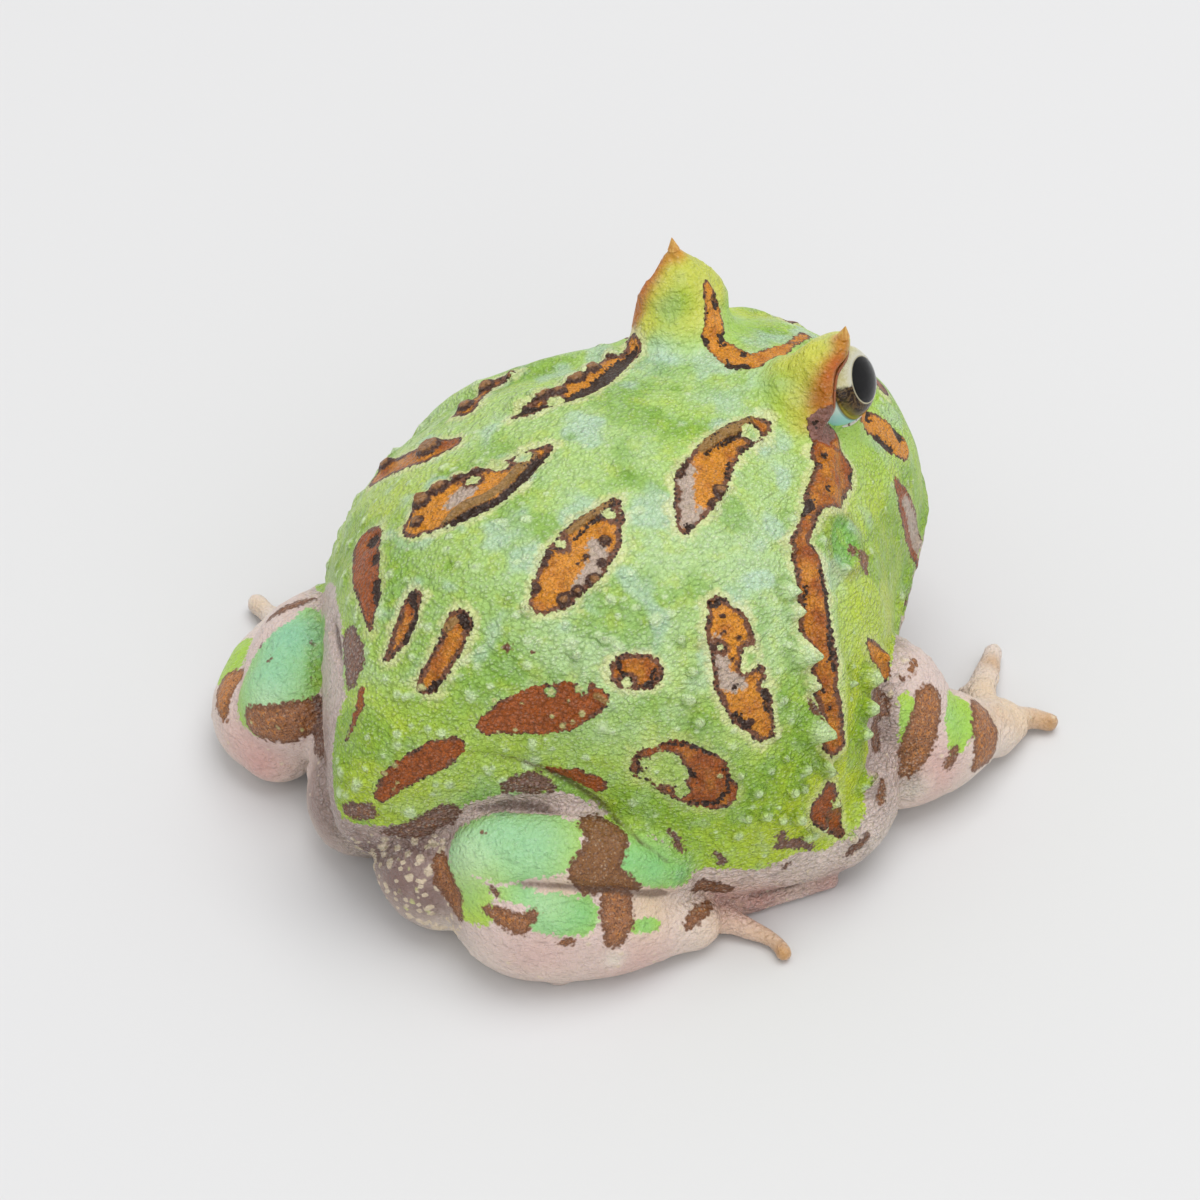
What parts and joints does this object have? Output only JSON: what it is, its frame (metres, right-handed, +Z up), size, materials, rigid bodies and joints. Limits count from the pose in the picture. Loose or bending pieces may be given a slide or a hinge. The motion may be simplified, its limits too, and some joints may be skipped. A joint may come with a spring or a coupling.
{
  "type": "argentine horned frog",
  "caption": "Life-size still model of a horned frog sitting with folded legs: wide warty body, pointed brows over the eyes, spread fingers and toes.",
  "frame": {"origin": "centre of the bottom of the bounding box, on the ground under the belly", "axes": "the frog faces -Y, its left side is +X, +Z is up"},
  "size_m": [0.0986, 0.0962, 0.0597],
  "materials": {
    "skin": "moist warty green skin with orange and brown spots",
    "horn": "granular yellow and orange skin of the raised brow",
    "eye": "wet and glossy, dark pupil in a pale iris",
    "digit_skin": "smooth pinkish ochre skin of hands and feet"
  },
  "bodies": {
    "root": {"head": "skin", "torso": "skin", "eyelid_left": "horn", "eyelid_right": "horn", "eye_left": "eye", "eye_right": "eye", "upper_arm_left": "skin", "upper_arm_right": "skin", "forearm_left": "skin", "forearm_right": "skin", "hand_left": "digit_skin", "hand_right": "digit_skin", "thigh_left": "skin", "thigh_right": "skin", "shank_left": "skin", "shank_right": "skin", "foot_left": "digit_skin", "foot_right": "digit_skin"}
  },
  "joints": []
}
